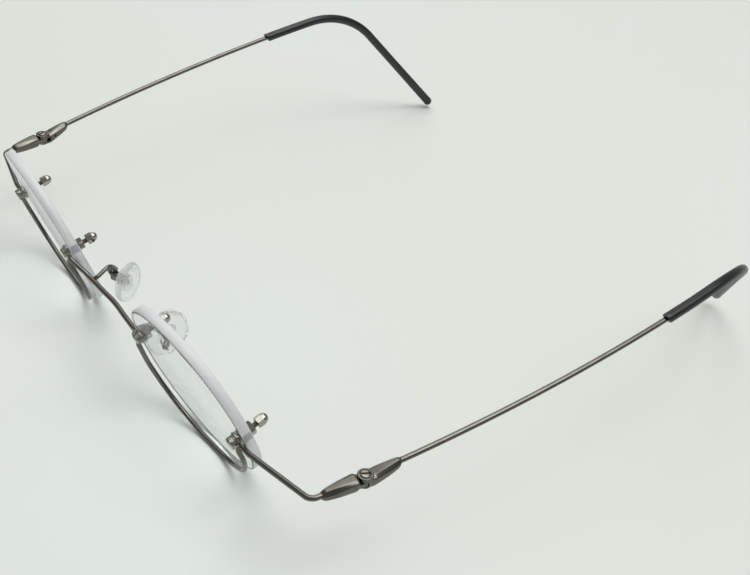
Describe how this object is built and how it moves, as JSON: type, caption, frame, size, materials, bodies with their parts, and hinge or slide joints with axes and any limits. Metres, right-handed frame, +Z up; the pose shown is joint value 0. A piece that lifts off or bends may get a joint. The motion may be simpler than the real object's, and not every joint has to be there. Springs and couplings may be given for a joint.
{
  "type": "reading glasses",
  "caption": "Rimless wire reading glasses with screwed lenses, folding straight temples, bent ear tips and clear nose pads.",
  "frame": {"origin": "centre of the footprint on the table, with the temples open", "axes": "+X towards the wearer's left, +Y back along the temples, +Z up"},
  "size_m": [0.1472, 0.1496, 0.0353],
  "materials": {
    "wire_metal": "polished gunmetal",
    "bright_hardware": "polished",
    "lens": "clear faces, satin ground edge",
    "clear_plastic": "clear",
    "silicone": "clear soft",
    "tip_plastic": "satin black"
  },
  "bodies": {
    "front": {"bridge": "wire_metal", "dome_nut_nasal_left": "bright_hardware", "dome_nut_nasal_right": "bright_hardware", "dome_nut_temporal_left": "bright_hardware", "dome_nut_temporal_right": "bright_hardware", "endpiece_left": "wire_metal", "endpiece_right": "wire_metal", "hex_nut_nasal_left": "bright_hardware", "hex_nut_nasal_right": "bright_hardware", "hex_nut_temporal_left": "bright_hardware", "hex_nut_temporal_right": "bright_hardware", "hinge_block_left": "wire_metal", "hinge_block_right": "wire_metal", "hole_bush_nasal_left": "clear_plastic", "hole_bush_nasal_right": "clear_plastic", "hole_bush_temporal_left": "clear_plastic", "hole_bush_temporal_right": "clear_plastic", "lens_left": "lens", "lens_right": "lens", "lens_screw_nasal_left": "bright_hardware", "lens_screw_nasal_right": "bright_hardware", "lens_screw_temporal_left": "bright_hardware", "lens_screw_temporal_right": "bright_hardware", "pad_arm_left": "wire_metal", "pad_arm_right": "wire_metal", "pad_box_left": "wire_metal", "pad_box_right": "wire_metal", "pad_pin_left": "wire_metal", "pad_pin_right": "wire_metal", "rim_wire_left": "wire_metal", "rim_wire_right": "wire_metal", "washer_front_nasal_left": "clear_plastic", "washer_front_nasal_right": "clear_plastic", "washer_front_temporal_left": "clear_plastic", "washer_front_temporal_right": "clear_plastic", "washer_rear_nasal_left": "clear_plastic", "washer_rear_nasal_right": "clear_plastic", "washer_rear_temporal_left": "clear_plastic", "washer_rear_temporal_right": "clear_plastic"},
    "temple_left": {"hinge_screw_left": "wire_metal", "temple_block_left": "wire_metal", "temple_tip_left": "tip_plastic", "temple_wire_left": "wire_metal"},
    "temple_right": {"hinge_screw_right": "wire_metal", "temple_block_right": "wire_metal", "temple_tip_right": "tip_plastic", "temple_wire_right": "wire_metal"},
    "nose_pad_left_body": {"nose_pad_left": "silicone", "pad_insert_left": "clear_plastic"},
    "nose_pad_right_body": {"nose_pad_right": "silicone", "pad_insert_right": "clear_plastic"}
  },
  "joints": [
    {"name": "temple_left_fold", "type": "hinge", "parent": "front", "child": "temple_left", "pos_m": [0.06685, -0.05504, 0.01845], "axis": [0, 0, 1], "range_deg": [0, 88]},
    {"name": "temple_right_fold", "type": "hinge", "parent": "front", "child": "temple_right", "pos_m": [-0.06685, -0.05504, 0.01845], "axis": [0, 0, -1], "range_deg": [0, 80]},
    {"name": "nose_pad_left_rock", "type": "hinge", "parent": "front", "child": "nose_pad_left_body", "pos_m": [0.01225, -0.06229, 0.01357], "axis": [-0.3591, -0.9333, 0], "range_deg": [-8, 8]},
    {"name": "nose_pad_right_rock", "type": "hinge", "parent": "front", "child": "nose_pad_right_body", "pos_m": [-0.01225, -0.06229, 0.01357], "axis": [-0.3591, 0.9333, 0], "range_deg": [-8, 8]}
  ]
}
